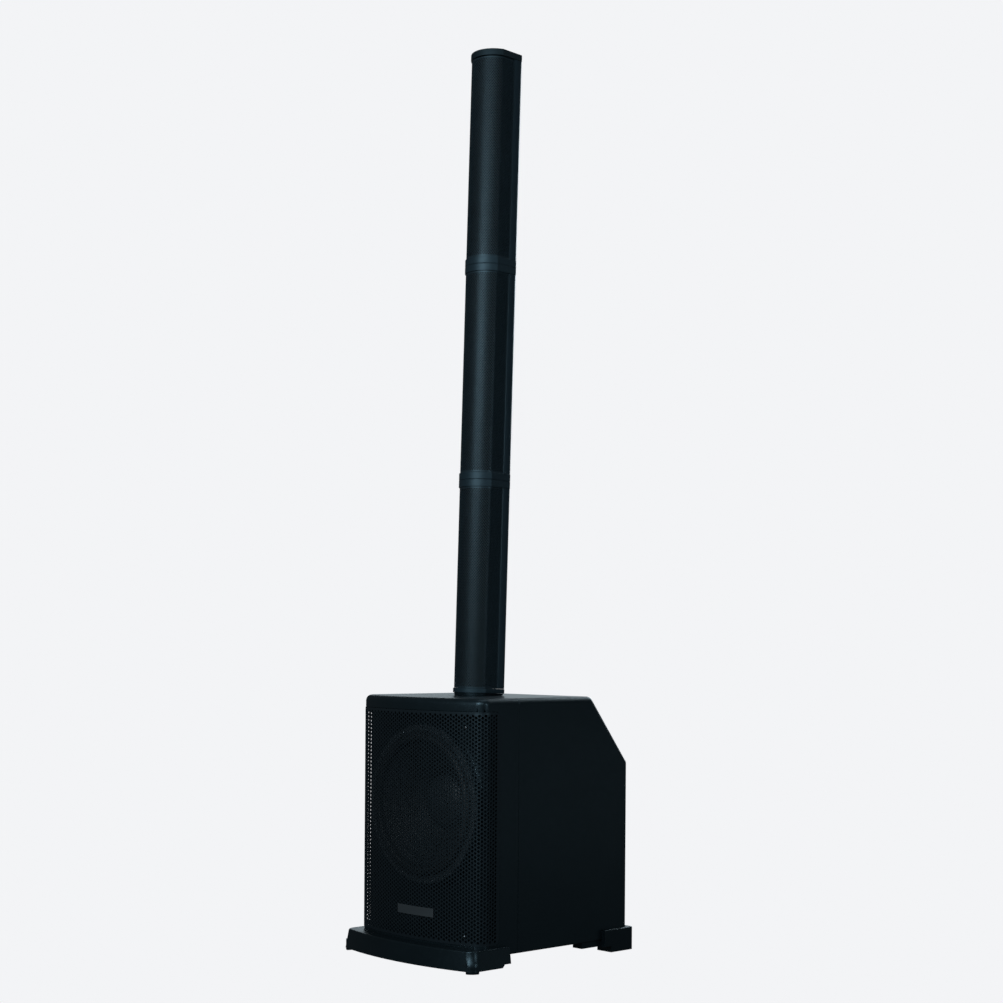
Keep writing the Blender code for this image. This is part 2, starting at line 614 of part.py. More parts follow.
def section(name, index):
    """One column section in its own frame, with its four drivers."""
    place = frame(name, (0, 0, SECTION_PITCH * index), 0, COLUMN)
    last = index == 2
    low = PEDESTAL_TOP + GAP if index == 0 else GAP / 2
    high = SECTION_PITCH - GAP / 2
    end_height = CAP_HEIGHT if last else COLLAR_HEIGHT
    body_low, body_high = COLLAR_HEIGHT + GAP, high - end_height - GAP

    def rim(edge):
        flat = abs(edge.verts[0].co.z - edge.verts[1].co.z) < 1e-5
        return 1.0 if flat and edge.calc_face_angle(0) > radians(60) else 0

    # Bottom collar with its spigot
    half_x, half_y = SPIGOT_SIZE[0] / 2, SPIGOT_SIZE[1] / 2
    collar = bevelled(slab(column_outline(), low, COLLAR_HEIGHT), rim, 0.0006, 1)
    bottom = piece(name + "_bottom_collar", collar, COLLAR, place)
    cut(bottom, slab(column_outline(HOUSING_WALL), low + 0.0035, 0.1), place)
    spigot = rounded_rectangle(half_x, half_y, 0.0045, centre=SPIGOT_CENTRE)
    spigot = slab(spigot, -SPIGOT_LENGTH, low + 0.002)

    def tip(edge):
        return 1.0 if all(v.co.z < -SPIGOT_LENGTH + 1e-4 for v in edge.verts) else 0

    join(bottom, bevelled(spigot, tip, 0.0015, 1), place)

    # Top collar with the cup for the next spigot, or the top cap
    outline = column_outline()
    if last:
        cap = bevelled(slab(outline, high - CAP_HEIGHT, high), rim, 0.0008, 2)
        top = piece(name + "_top_cap", cap, COLLAR, place)
        cut(top, slab(column_outline(HOUSING_WALL), 0, high - 0.003), place)
    else:
        collar = bevelled(slab(outline, high - COLLAR_HEIGHT, high), rim, 0.0006, 1)
        top = piece(name + "_top_collar", collar, COLLAR, place)
        wall = SPIGOT_CLEARANCE + CUP_WALL
        cup = rounded_rectangle(half_x + wall, half_y + wall, 0.008, centre=SPIGOT_CENTRE)
        join(top, slab(cup, high - SPIGOT_LENGTH - 0.005, high - 0.002), place)
        cut(top, slab(spigot_bore(), high - SPIGOT_LENGTH - 0.001, high + 0.1), place)

    # Wrap-round grille
    sheet = piece(name + "_grille", slab(column_outline(GRILLE_INSET, 16), body_low, body_high), STEEL_SHEET, place)
    inner = column_outline(GRILLE_INSET + COLUMN_GRILLE_THICKNESS, 16)
    cut(sheet, slab(inner, 0, high), place)
    cut(sheet, box((-BIG, COLUMN_GRILLE_BACK, 0), (BIG, BIG, high)), place)

    # Rear housing: a channel whose sides step in behind the grille
    housing = piece(name + "_housing", slab(column_outline(0.0005), body_low, body_high), MOULDING, place)
    cut(housing, box((-BIG, -BIG, 0), (BIG, COLUMN_GRILLE_BACK + GAP, high)), place)
    inner_x = COLUMN_HALF_WIDTH - GRILLE_INSET - COLUMN_GRILLE_THICKNESS - GAP
    join(housing, box((-inner_x, BOARD_BACK + GAP, body_low), (inner_x, 0.030, body_high)), place)
    hollow_x = inner_x - HOUSING_WALL + GAP
    hollow = box((-hollow_x, -BIG, 0), (hollow_x, COLUMN_REAR - 0.0005 - HOUSING_WALL, high))
    cut(housing, hollow, place)

    # Driver board with the four baskets, and a cone in each
    board_x = inner_x - 0.0010
    plate = box((-board_x, BOARD_FRONT, body_low), (board_x, BOARD_BACK, body_high))
    board = piece(name + "_driver_board", plate, FRAME_STEEL, place)
    for i in range(DRIVERS):
        height = SECTION_PITCH / 2 + (i - (DRIVERS - 1) / 2) * DRIVER_PITCH
        seat = frame("%s_seat_%d" % (name, i + 1), (0, BOARD_FRONT - 0.0030, height), pi / 2, place)
        driver_basket(board, seat)
        driver_cone("%s_cone_%d" % (name, i + 1), seat)


# ---- rear equipment; both frames have Z outwards and Y downwards


def control_panel():
    plate = slab(rounded_rectangle(PANEL_SIZE[0] / 2, PANEL_SIZE[1] / 2, 0.004), -0.0030, -0.0030 + PLATE_THICKNESS)
    panel = piece("control_panel", plate, PANEL_PAINT, SLOPE)
    for i, name in enumerate(KNOBS):
        centre = ((i - (len(KNOBS) - 1) / 2) * KNOB_PITCH, 0.022, 0)
        cut(panel, rod(0.0040, -0.02, 0.02, 16), SLOPE, centre)
        knob(name, centre)
    centre = (0.096, -0.030, 0)
    cut(panel, rod(0.0050, -0.02, 0.02, 16), SLOPE, centre)
    profile = [(0, 0.0020), (0.0038, 0.0020), (0.0045, 0.0014), (0.0045, -0.0060), (0, -0.0060)]
    piece("pair_button", shifted(turned(profile, 16), centre), KNOB_PLASTIC, SLOPE, centre)


def knob(name, centre):
    """A skirted knob with a raised pointer, on its shaft."""
    profile = [(0, 0.0140), (0.0078, 0.0140), (0.0092, 0.0030), (0.0112, 0.0012)]
    profile += [(0.0112, -0.0004), (0.0032, -0.0004), (0.0032, -0.0120), (0, -0.0120)]
    made = piece(name, shifted(turned(profile, 12), centre), KNOB_PLASTIC, SLOPE, centre)
    pointer = box((-0.0007, -0.0088, 0.0100), (0.0007, -0.0010, 0.0147))
    join(made, pointer, SLOPE, centre)


def amp_plate():
    half_x, half_y = AMP_PLATE_SIZE[0] / 2, AMP_PLATE_SIZE[1] / 2
    outline = rounded_rectangle(half_x, half_y, 0.004, centre=(0, -AMP_PLATE_Z))
    plate = piece("amp_plate", slab(outline, -0.0030, -0.0030 + PLATE_THICKNESS), PANEL_PAINT, REAR)
    face = -0.0030 + PLATE_THICKNESS
    for name, (x, z) in JACKS.items():
        cut(plate, rod(JACK_RADIUS + 0.0018, -0.02, 0.02, 16), REAR, (x, -z, 0))
        jack(name, (x, -z, 0), face)
    x, z = INLET_AT
    cut(plate, slab(rectangle(0.0142, 0.0102), -0.02, 0.02), REAR, (x, -z, 0))
    shape = slab(rounded_rectangle(0.0250, 0.0130, 0.003, centre=(x, -z)), face + GAP, face + 0.0028)
    inlet = piece("power_inlet", shape, KNOB_PLASTIC, REAR)
    join(inlet, slab(rectangle(0.0138, 0.0098, (x, -z)), -0.024, face + 0.001), REAR)
    cut(inlet, slab(rectangle(0.0122, 0.0082, (x, -z)), -0.0215, 0.02), REAR)

    x, z = SWITCH_AT
    hole = slab(rectangle(0.0070, 0.0100), -0.02, 0.02)
    cut(plate, hole, REAR, (x, -z, 0))
    tilt = frame("switch_tilt", (x, -z, -0.0030), SWITCH_TILT, REAR)
    outline = rounded_rectangle(0.0062, 0.0086, 0.001, 2)
    piece("power_switch", slab(outline, -0.0045, 0.0058), KNOB_PLASTIC, tilt)

    fins = box((-0.120, -0.336, face + GAP), (0.012, -0.190, face + 0.0030))
    heatsink = piece("heatsink", fins, HEATSINK_METAL, REAR)
    count = 11
    for i in range(count):
        x = -0.1185 + i * 0.0127
        join(heatsink, box((x, -0.3355, face + 0.001), (x + 0.0025, -0.1905, 0.0092)), REAR)


def jack(name, centre, face):
    """A round socket with a square flange, and its barrel behind the plate."""
    x, y, _ = centre
    flange = slab(rounded_rectangle(0.0130, 0.0155, 0.003, centre=(x, y)), face + GAP, face + 0.0024)
    made = piece(name, flange, KNOB_PLASTIC, REAR)
    join(made, rod(JACK_RADIUS + 0.0014, -0.026, face + 0.001, 16), REAR, centre)
    cut(made, rod(JACK_RADIUS, -0.020, 0.02, 16), REAR, centre)


def port_tube():
    inner, outer = PORT_RADIUS, PORT_RADIUS + 0.003
    profile = [(inner + 0.006, 0.0028), (outer + 0.009, 0.0020), (outer + 0.009, GAP), (outer, GAP)]
    profile += [(outer, -PORT_LENGTH), (inner, -PORT_LENGTH), (inner, -0.006), (inner + 0.002, -0.0010)]
    centre = (PORT_CENTRE[0], -PORT_CENTRE[1], 0)
    piece("port_tube", shifted(turned(profile, 16), centre), MOULDING, REAR, centre)


def amp_board():
    """The circuit board behind the amplifier plate, with its transformer and capacitors."""
    z = AMP_PLATE_Z
    board = box((-0.118, -z - 0.070, -0.0420), (0.118, -z + 0.070, -0.0400))
    made = piece("amp_board", board, BOARD_GREEN, REAR)
    join(made, rod(0.040, -0.080, -0.041, 20), REAR, (-0.060, -z, 0))
    for x, y in ((0.010, 0.030), (0.038, 0.030), (0.066, 0.030)):
        join(made, rod(0.011, -0.072, -0.041, 14), REAR, (x, -z + y, 0))
    join(made, box((0.000, -z - 0.050, -0.060), (0.090, -z - 0.020, -0.041)), REAR)


BODY = cabinet_body()
front_shell(BODY)
rear_shell(BODY)
sub_grille()
badge()
front_plinth()
rear_foot("rear_foot_left", -1)
rear_foot("rear_foot_right", 1)
woofer()
column_socket()
for number, section_name in enumerate(("lower", "middle", "upper")):
    section(section_name, number)
control_panel()
amp_plate()
port_tube()
amp_board()
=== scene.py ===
"""The looks of the column loudspeaker system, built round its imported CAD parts.

Metres, +Z up, the grilles face -Y. Places come from the CAD nodes and from the joints.
"""

import json
from functools import lru_cache
from math import asin, atan2, cos, hypot, pi, radians, sin, sqrt, tan

import bmesh
import bpy
from mathutils import Matrix, Vector


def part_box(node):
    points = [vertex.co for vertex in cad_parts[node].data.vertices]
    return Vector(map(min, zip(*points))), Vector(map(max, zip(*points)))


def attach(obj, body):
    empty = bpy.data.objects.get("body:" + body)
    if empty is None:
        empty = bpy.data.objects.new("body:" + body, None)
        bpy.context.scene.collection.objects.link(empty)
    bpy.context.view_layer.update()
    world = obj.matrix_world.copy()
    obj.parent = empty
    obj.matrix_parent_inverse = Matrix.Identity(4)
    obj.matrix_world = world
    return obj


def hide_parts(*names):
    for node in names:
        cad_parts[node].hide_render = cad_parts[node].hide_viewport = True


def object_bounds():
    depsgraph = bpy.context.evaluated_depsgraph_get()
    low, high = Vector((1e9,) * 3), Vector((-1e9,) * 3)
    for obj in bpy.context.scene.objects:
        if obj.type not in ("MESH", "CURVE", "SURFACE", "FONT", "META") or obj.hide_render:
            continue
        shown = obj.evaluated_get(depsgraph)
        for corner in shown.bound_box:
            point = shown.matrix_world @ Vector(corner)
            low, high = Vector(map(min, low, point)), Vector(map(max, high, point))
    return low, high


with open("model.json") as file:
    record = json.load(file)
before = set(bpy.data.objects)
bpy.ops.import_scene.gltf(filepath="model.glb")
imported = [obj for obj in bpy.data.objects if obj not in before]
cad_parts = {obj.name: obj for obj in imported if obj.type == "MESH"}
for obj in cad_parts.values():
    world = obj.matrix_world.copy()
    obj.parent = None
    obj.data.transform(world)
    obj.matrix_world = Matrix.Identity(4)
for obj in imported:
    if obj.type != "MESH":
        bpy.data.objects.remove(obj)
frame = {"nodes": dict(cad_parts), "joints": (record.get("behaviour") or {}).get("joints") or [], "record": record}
CAD_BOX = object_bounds()
NODES = frame["nodes"]
JOINTS = {joint["name"]: joint for joint in frame["joints"]}
SECTIONS = ("lower", "middle", "upper")

# Sizes that no node's box gives
CORNER_RADIUS = 0.024  # the cabinet's front corners
BOW_DEPTH = 0.022
SHEET_PROUD = 0.001  # the bass grille stands this far out of the cabinet's outline
OPENING_RADIUS = 0.011
ARC_RADIUS = 0.049  # the column's front
GRILLE_INSET = 0.002
FOLD_RADIUS = 0.003  # where the round front meets the flat side
SEAM_MIDDLE = 0.27  # height of the middle of the seam between the shells
SEAM_REACH = 0.17  # edges of the seam further out than this are on the outline
TINY = 1e-4


# ---- places


def centre(node):
    low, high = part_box(node)
    return (low + high) / 2


def axes(origin, x, z):
    """A frame with its X along x and its Z along z."""
    z = Vector(z).normalized()
    x = Vector(x).normalized()
    place = Matrix((x, z.cross(x), z)).transposed().to_4x4()
    place.translation = origin
    return place


def span(node, place):
    """Lowest and highest corner of a CAD node in another frame."""
    inverse = place.inverted()
    points = [inverse @ vert.co for vert in NODES[node].data.vertices]
    low = Vector(min(p[i] for p in points) for i in range(3))
    high = Vector(max(p[i] for p in points) for i in range(3))
    return low, high


def column_frame():
    """Its origin is on the column's axis, at the height of the cabinet's top."""
    axis = Vector(JOINTS["lower_section_lift"]["axis"])
    top = centre("upper_top_cap")
    drop = (top.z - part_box("front_shell")[1].z) / axis.z
    return axes(top - axis * drop, (1, 0, 0), axis)


COLUMN = column_frame()
KNOB_JOINT = JOINTS["line_knob_turn"]
SLOPE = axes(KNOB_JOINT["pos_m"], (1, 0, 0), KNOB_JOINT["axis"])
RING_LOW, RING_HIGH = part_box("woofer_frame")
RING_RADIUS = (RING_HIGH.x - RING_LOW.x) / 2
WOOFER = axes((0, RING_LOW.y, (RING_LOW.z + RING_HIGH.z) / 2), (1, 0, 0), (0, -1, 0))


class Plan:
    """A path in plan, of straight runs and left turns, each given as (length, turn)."""

    def __init__(self, start, heading, parts):
        self.runs = []
        at = Vector(start)
        self.length = 0
        for length, turn in parts:
            self.runs.append((self.length, length, at, heading, turn))
            at = self.step(at, heading, turn / length, length)
            heading += turn
            self.length += length

    @staticmethod
    def step(at, heading, bend, distance):
        if abs(bend) < 1e-9:
            return at + distance * Vector((cos(heading), sin(heading)))
        end = heading + bend * distance
        return at + Vector((sin(end) - sin(heading), cos(heading) - cos(end))) / bend

    @lru_cache(maxsize=None)
    def at(self, distance):
        """The point at a distance along the path, and the outward normal there."""
        run = max((r for r in self.runs if r[0] <= distance), default=self.runs[0])
        done, length, start, heading, turn = run
        bend = turn / length
        point = self.step(start, heading, bend, distance - done)
        heading += bend * (distance - done)
        return point, Vector((sin(heading), -cos(heading)))


def arc(radius, turn):
    return (radius * turn, turn)


def bowed_plan(half_width, crown_y, rear_y, corner, bow_depth, offset=0.0):
    """Round the bowed front from the left side's back to the right side's."""
    chord = half_width - corner
    bow = (chord**2 + bow_depth**2) / (2 * bow_depth) + offset
    bow_centre = crown_y + bow
    corner_y = bow_centre - sqrt((bow - corner) ** 2 - chord**2)
    spread = atan2(chord, bow_centre - corner_y)
    side = (rear_y - corner_y, 0)
    turn = arc(corner, pi / 2 - spread)
    return Plan((-half_width, rear_y), -pi / 2, [side, turn, arc(bow, 2 * spread), turn, side])


# ---- meshes and pieces


def mesh_of(bm):
    bmesh.ops.recalc_face_normals(bm, faces=bm.faces)
    mesh = bpy.data.meshes.new("shape")
    bm.to_mesh(mesh)
    bm.free()
    return mesh


def show(name, mesh, finish, body, place=Matrix.Identity(4), replaces=(), crease=35):
    """A piece that rides on a body and stands for some CAD nodes."""
    mesh.name = name
    if not mesh.materials:
        mesh.materials.append(finish)
    mesh.shade_smooth()
    mesh.set_sharp_from_angle(angle=radians(crease))
    obj = bpy.data.objects.new(name, mesh)
    bpy.context.scene.collection.objects.link(obj)
    obj.matrix_world = place
    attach(obj, body)
    if replaces:
        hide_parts(*replaces)
    return obj


BODY_OF = {
    node: body
    for body, nodes in frame["record"]["behaviour"]["bodies"].items()
    for node in nodes
}


def refined(node, finish, pick=None, width=0.0005, segments=2, crease=35, angle=40):
    """A copy of a CAD node with clean normals and, where pick() says so, rounded edges."""
    bm = bmesh.new()
    bm.from_mesh(NODES[node].data)
    bmesh.ops.remove_doubles(bm, verts=bm.verts, dist=1e-5)
    bmesh.ops.dissolve_limit(bm, angle_limit=radians(0.3), verts=bm.verts, edges=bm.edges)
    if pick:
        least = radians(angle)
        convex = [e for e in bm.edges if e.is_convex and e.calc_face_angle(0) > least]
        edges = [e for e in convex if pick(e)]
        bmesh.ops.bevel(
            bm, geom=edges, offset=width, offset_type="OFFSET", segments=segments,
            profile=0.5, affect="EDGES", clamp_overlap=True,
        )  # fmt: skip
    obj = show(node + "_skin", mesh_of(bm), finish, BODY_OF[node], replaces=(node,), crease=crease)
    weighted = obj.modifiers.new("Weighted", "WEIGHTED_NORMAL")
    weighted.keep_sharp = True


def turned(profile, steps, closed=True):
    """A profile of (radius, height) points, turned about Z."""
    bm = bmesh.new()
    rings = []
    for radius, height in profile:
        if radius < 1e-6:
            rings.append([bm.verts.new((0, 0, height))] * steps)
        else:
            ring = []
            for a in [2 * pi * i / steps for i in range(steps)]:
                ring.append(bm.verts.new((radius * cos(a), radius * sin(a), height)))
            rings.append(ring)
    pairs = list(zip(rings, rings[1:]))
    if closed and profile[0][0] > 1e-6:
        pairs.append((rings[-1], rings[0]))
    for a, b in pairs:
        for i in range(steps):
            j = (i + 1) % steps
            corners = list(dict.fromkeys((a[i], a[j], b[j], b[i])))
            if len(corners) > 2:
                bm.faces.new(corners)
    return mesh_of(bm)


def joined(parts):
    """One mesh from (mesh, place) pairs."""
    bm = bmesh.new()
    for mesh, place in parts:
        moved = mesh.copy()
        moved.transform(place)
        bm.from_mesh(moved)
        bpy.data.meshes.remove(moved)
    mesh = bpy.data.meshes.new("joined")
    bm.to_mesh(mesh)
    bm.free()
    return mesh


# ---- perforated sheets


def perforated(plan, height, pitch_u, pitch_v, hole, sides, border, corner, thickness):
    """A sheet bent along a plan, with staggered holes inside a plain border with round corners."""
    across = 2 * round((plan.length - 2 * border) / pitch_u)
    up = 2 * round((height - 2 * border) / pitch_v)
    du = (plan.length - 2 * border) / across
    dv = (height - 2 * border) / up
    flat, faces, walls, spots = [], [], [], {}

    def vertex(u, v):
        flat.append((u, v))
        return len(flat) - 1

    def spot(i, j):
        if (i, j) not in spots:
            spots[i, j] = vertex(border + i * du, border + j * dv)
        return spots[i, j]

    quarter = sides // 4
    for i in range(across + 1):
        for j in range(i % 2, up + 1, 2):
            around = [(i + 1, j), (i, j + 1), (i - 1, j), (i, j - 1)]
            kept = [(a, b) for a, b in around if 0 <= a <= across and 0 <= b <= up]
            if len(kept) == 4:
                u, v = border + i * du, border + j * dv
                angles = [2 * pi * k / sides for k in range(sides)]
                ring = [vertex(u + hole * cos(a), v + hole * sin(a)) for a in angles]
                for k in range(4):
                    start = spot(*around[k])
                    end = spot(*around[(k + 1) % 4])
                    rim = [ring[(k * quarter + n) % sides] for n in range(quarter + 1)]
                    faces.append([start, end] + rim[::-1])
                walls += [(ring[(k + 1) % sides], ring[k]) for k in range(sides)]
            elif len(kept) == 3:
                faces.append([spot(*k) for k in kept])
            else:
                faces.append([spot(i, j)] + [spot(*k) for k in kept])

    # The border, from the outermost spots out to the sheet's edge
    edge = [(0, 0)] + [(i, 0) for i in range(1, across, 2)] + [(across, 0)]
    edge += [(across, j) for j in range(1, up, 2)] + [(across, up)]
    edge += [(i, up) for i in range(across - 1, 0, -2)] + [(0, up)]
    edge += [(0, j) for j in range(up - 1, 0, -2)]
    rim = []
    for i, j in edge:
        u = {0: 0, across: plan.length}.get(i, border + i * du)
        v = {0: 0, up: height}.get(j, border + j * dv)
        hub_u = min(max(u, corner), plan.length - corner)
        hub_v = min(max(v, corner), height - corner)
        reach = hypot(u - hub_u, v - hub_v)
        if abs(u - hub_u) > 1e-9 and abs(v - hub_v) > 1e-9:
            u, v = hub_u + (u - hub_u) * corner / reach, hub_v + (v - hub_v) * corner / reach
        rim.append(vertex(u, v))
    for k, (i, j) in enumerate(edge):
        n = (k + 1) % len(edge)
        faces.append([spot(i, j), rim[k], rim[n], spot(*edge[n])])
        walls.append((rim[k], rim[n]))

    points = []
    for depth in (0, thickness):
        for u, v in flat:
            point, normal = plan.at(round(u, 6))
            point = point - normal * depth
            points.append((point.x, point.y, v))
    count = len(flat)
    solid = faces + [[v + count for v in reversed(face)] for face in faces]
    solid += [(a, a + count, b + count, b) for a, b in walls]
    mesh = bpy.data.meshes.new("perforated")
    mesh.from_pydata(points, [], solid)
    mesh.validate()
    return mesh


def evaluated(obj):
    """The object's mesh, after its modifiers."""
    graph = bpy.context.evaluated_depsgraph_get()
    return bpy.data.meshes.new_from_object(obj.evaluated_get(graph))


def slab(outline, low, high, holes=()):
    """A flat outline with holes, given thickness."""
    curve = bpy.data.curves.new("outline", "CURVE")
    curve.dimensions = "2D"
    curve.fill_mode = "BOTH"
    curve.extrude = (high - low) / 2
    for points in (outline, *holes):
        spline = curve.splines.new("POLY")
        spline.points.add(len(points) - 1)
        for point, (x, y) in zip(spline.points, points):
            point.co = (x, y, 0, 1)
        spline.use_cyclic_u = True
    obj = bpy.data.objects.new("outline", curve)
    bpy.context.scene.collection.objects.link(obj)
    bpy.context.view_layer.update()
    mesh = evaluated(obj)
    bpy.data.objects.remove(obj)
    bm = bmesh.new()
    bm.from_mesh(mesh)
    bmesh.ops.remove_doubles(bm, verts=bm.verts, dist=1e-6)
    bmesh.ops.translate(bm, verts=bm.verts, vec=(0, 0, (low + high) / 2))
    return mesh_of(bm)


def circle(radius, count=32, at=(0, 0)):
    angles = [2 * pi * i / count for i in range(count)]
    return [(at[0] + radius * cos(a), at[1] + radius * sin(a)) for a in angles]


def rectangle(half_x, half_y, radius=0.0, at=(0, 0), count=4):
    """A rectangle with round corners."""
    points = []
    for i, (sx, sy) in enumerate(((1, 1), (-1, 1), (-1, -1), (1, -1))):
        x, y = at[0] + sx * (half_x - radius), at[1] + sy * (half_y - radius)
        angles = [pi / 2 * (i + n / count) for n in range(count + 1)] if radius else [0]
        points += [(x + radius * cos(a), y + radius * sin(a)) for a in angles]
    return points


def softened(mesh, width, segments=2, angle=50):
    """The mesh with its sharp edges rounded."""
    bm = bmesh.new()
    bm.from_mesh(mesh)
    bmesh.ops.dissolve_limit(bm, angle_limit=radians(0.3), verts=bm.verts, edges=bm.edges)
    edges = [e for e in bm.edges if e.is_manifold and e.calc_face_angle(0) > radians(angle)]
    bmesh.ops.bevel(
        bm, geom=edges, offset=width, offset_type="OFFSET", segments=segments,
        profile=0.5, affect="EDGES", clamp_overlap=True,
    )  # fmt: skip
    return mesh_of(bm)


def move(x, y, z):
    return Matrix.Translation((x, y, z))


def cut(mesh, cutters):
    """The mesh with each of the (mesh, place) cutters taken out of it."""
    body = bpy.data.objects.new("body", mesh)
    bpy.context.scene.collection.objects.link(body)
    tools = []
    for shape, place in cutters:
        tool = bpy.data.objects.new("cutter", shape)
        bpy.context.scene.collection.objects.link(tool)
        tool.matrix_world = place
        boolean = body.modifiers.new("Cut", "BOOLEAN")
        boolean.operation = "DIFFERENCE"
        boolean.solver = "EXACT"
        boolean.object = tool
        tools.append(tool)
    bpy.context.view_layer.update()
    result = evaluated(body)
    for obj in (body, *tools):
        bpy.data.objects.remove(obj)
    return result


# ---- materials

WHITE = (1, 1, 1)
COOL = (0.58, 0.85, 1.0)  # tint of the sheen on the blue-black finishes
COLOUR_PATCH = 0.07  # size of the patches of uneven colour
GLOSS_PATCH = 0.012
GLOSS_SPREAD = 0.07


def finish(
    name, colour, roughness, metallic=0.0, grain=0.0006, relief=0.00004, mottle=0.12,
    tint=WHITE, brushed=0,
):  # fmt: skip
    """A procedural finish: mottled colour, uneven gloss and a relief of the given grain size.

    A brushed finish has its grain stretched along X by that factor.
    """
    made = bpy.data.materials.new(name)
    made.use_nodes = True
    nodes, links = made.node_tree.nodes, made.node_tree.links
    shader = nodes["Principled BSDF"]
    shader.inputs["Metallic"].default_value = metallic
    shader.inputs["Specular Tint"].default_value = (*tint, 1)
    where = nodes.new("ShaderNodeTexCoord").outputs["Object"]
    if brushed:
        stretch = nodes.new("ShaderNodeMapping")
        stretch.inputs["Scale"].default_value = (1 / brushed, 1, 1)
        links.new(where, stretch.inputs["Vector"])
        where = stretch.outputs["Vector"]

    def noise(size, detail):
        node = nodes.new("ShaderNodeTexNoise")
        node.inputs["Scale"].default_value = 1 / size
        node.inputs["Detail"].default_value = detail
        links.new(where, node.inputs["Vector"])
        return node.outputs["Fac"]

    tones = nodes.new("ShaderNodeValToRGB")
    tones.color_ramp.elements[0].position = 0.3
    tones.color_ramp.elements[1].position = 0.7
    for element, shade in zip(tones.color_ramp.elements, (1 - mottle, 1 + mottle)):
        element.color = (*(min(1, c * shade) for c in colour), 1)
    links.new(noise(COLOUR_PATCH, 6), tones.inputs["Fac"])
    links.new(tones.outputs["Color"], shader.inputs["Base Color"])

    gloss = nodes.new("ShaderNodeMapRange")
    gloss.inputs["To Min"].default_value = max(0.02, roughness - GLOSS_SPREAD)
    gloss.inputs["To Max"].default_value = min(1, roughness + GLOSS_SPREAD)
    links.new(noise(GLOSS_PATCH, 4), gloss.inputs["Value"])
    links.new(gloss.outputs["Result"], shader.inputs["Roughness"])

    bump = nodes.new("ShaderNodeBump")
    bump.inputs["Strength"].default_value = 0.6
    bump.inputs["Distance"].default_value = relief
    links.new(noise(grain, 2), bump.inputs["Height"])
    links.new(bump.outputs["Normal"], shader.inputs["Normal"])
    return made


MOULDING = finish("moulded_shell", (0.0056, 0.0096, 0.0120), 0.34, relief=0.00006, tint=COOL)
FOOT = finish("moulded_foot", (0.0040, 0.0070, 0.0088), 0.34, relief=0.00006, tint=COOL)
COLLAR = finish("moulded_collar", (0.0125, 0.0235, 0.0310), 0.45, relief=0.00004, tint=COOL)
HOUSING = finish("moulded_housing", (0.010, 0.019, 0.026), 0.42, relief=0.00005, tint=COOL)
CAP = finish("moulded_cap", (0.0045, 0.0085, 0.0110), 0.60, relief=0.00004, tint=COOL)
# Painted shade: a near-black sheet behind the column's holes, standing in for the shade inside the column.
PAINTED_SHADE_SHEET = finish("painted_shade_sheet", (0.0030, 0.0034, 0.0036), 0.85, grain=0.0006, relief=0.00005)
SUB_SHEET = finish(
    "powder_coat", (0.0078, 0.0110, 0.0136), 0.44, grain=0.0010, relief=0.00003, tint=COOL
)
COLUMN_SHEET = finish(
    "powder_coat_column", (0.0125, 0.0210, 0.0265), 0.41, grain=0.0010, relief=0.00003, tint=COOL
)
BASKET = finish("basket_paint", (0.070, 0.084, 0.094), 0.46, metallic=0.2, grain=0.0012)
DRIVER_BLACK = finish("driver_black", (0.0040, 0.0048, 0.0054), 0.55, grain=0.0012)
PAPER = finish(
    "cone_paper", (0.026, 0.034, 0.039), 0.66, grain=0.0009, relief=0.00004, mottle=0.12
)
DRIVER_PAPER = finish(
    "driver_paper", (0.0060, 0.0070, 0.0078), 0.62, grain=0.0007, relief=0.00010, mottle=0.2
)
CAP_PAPER = finish(
    "dust_cap_paper", (0.036, 0.047, 0.054), 0.54, grain=0.0009, relief=0.00004, mottle=0.1
)
RUBBER = finish("surround_rubber", (0.024, 0.029, 0.032), 0.58, grain=0.0014, relief=0.00006)
FERRITE = finish("ferrite", (0.035, 0.036, 0.038), 0.72, grain=0.0010, relief=0.00010, mottle=0.3)
PANEL = finish(
    "panel_paint", (0.009, 0.012, 0.014), 0.46, metallic=0.1, grain=0.0011, relief=0.00003
)
KNOB = finish("knob_plastic", (0.014, 0.016, 0.018), 0.36, grain=0.0007, relief=0.00002)
SOCKET = finish("socket_plastic", (0.008, 0.009, 0.010), 0.40, grain=0.0008, relief=0.00002)
PRINT = finish("white_print", (0.62, 0.64, 0.65), 0.60, grain=0.0009, relief=0.00001, mottle=0.06)
STEEL = finish("zinc_steel", (0.42, 0.43, 0.45), 0.34, metallic=1.0, grain=0.0008, relief=0.00002)
BLACK_STEEL = finish(
    "black_screw", (0.090, 0.104, 0.114), 0.26, metallic=0.8, grain=0.0008, relief=0.00002
)
BRASS = finish(
    "contact_metal", (0.60, 0.46, 0.22), 0.30, metallic=1.0, grain=0.0008, relief=0.00001
)
ANODISED = finish(
    "anodised", (0.020, 0.021, 0.024), 0.42, metallic=0.7, grain=0.0006, relief=0.00002, brushed=12
)
BADGE = finish(
    "brushed_badge", (0.20, 0.23, 0.25), 0.36, metallic=0.9, grain=0.0004, relief=0.00002,
    brushed=16,
)
BOARD = finish(
    "circuit_board", (0.012, 0.085, 0.040), 0.45, grain=0.0015, relief=0.00005, mottle=0.3
)
GREEN_LIGHT = finish("signal_lens", (0.05, 0.32, 0.10), 0.22, grain=0.0009, relief=0.00001)
RED_LIGHT = finish("limit_lens", (0.40, 0.03, 0.02), 0.22, grain=0.0009, relief=0.00001)


# ---- screws


def screw_mesh(radius):
    """A pan head with a cross recess."""
    profile = [(0, 0.55), (0.45, 0.50), (0.80, 0.34), (0.97, 0.12), (1, 0), (0, 0)]
    head = turned([(r * radius, z * radius) for r, z in profile], 24)
    bars = [rectangle(0.52 * radius, 0.11 * radius), rectangle(0.11 * radius, 0.52 * radius)]
    return cut(head, [(slab(bar, 0.22 * radius, radius), Matrix.Identity(4)) for bar in bars])


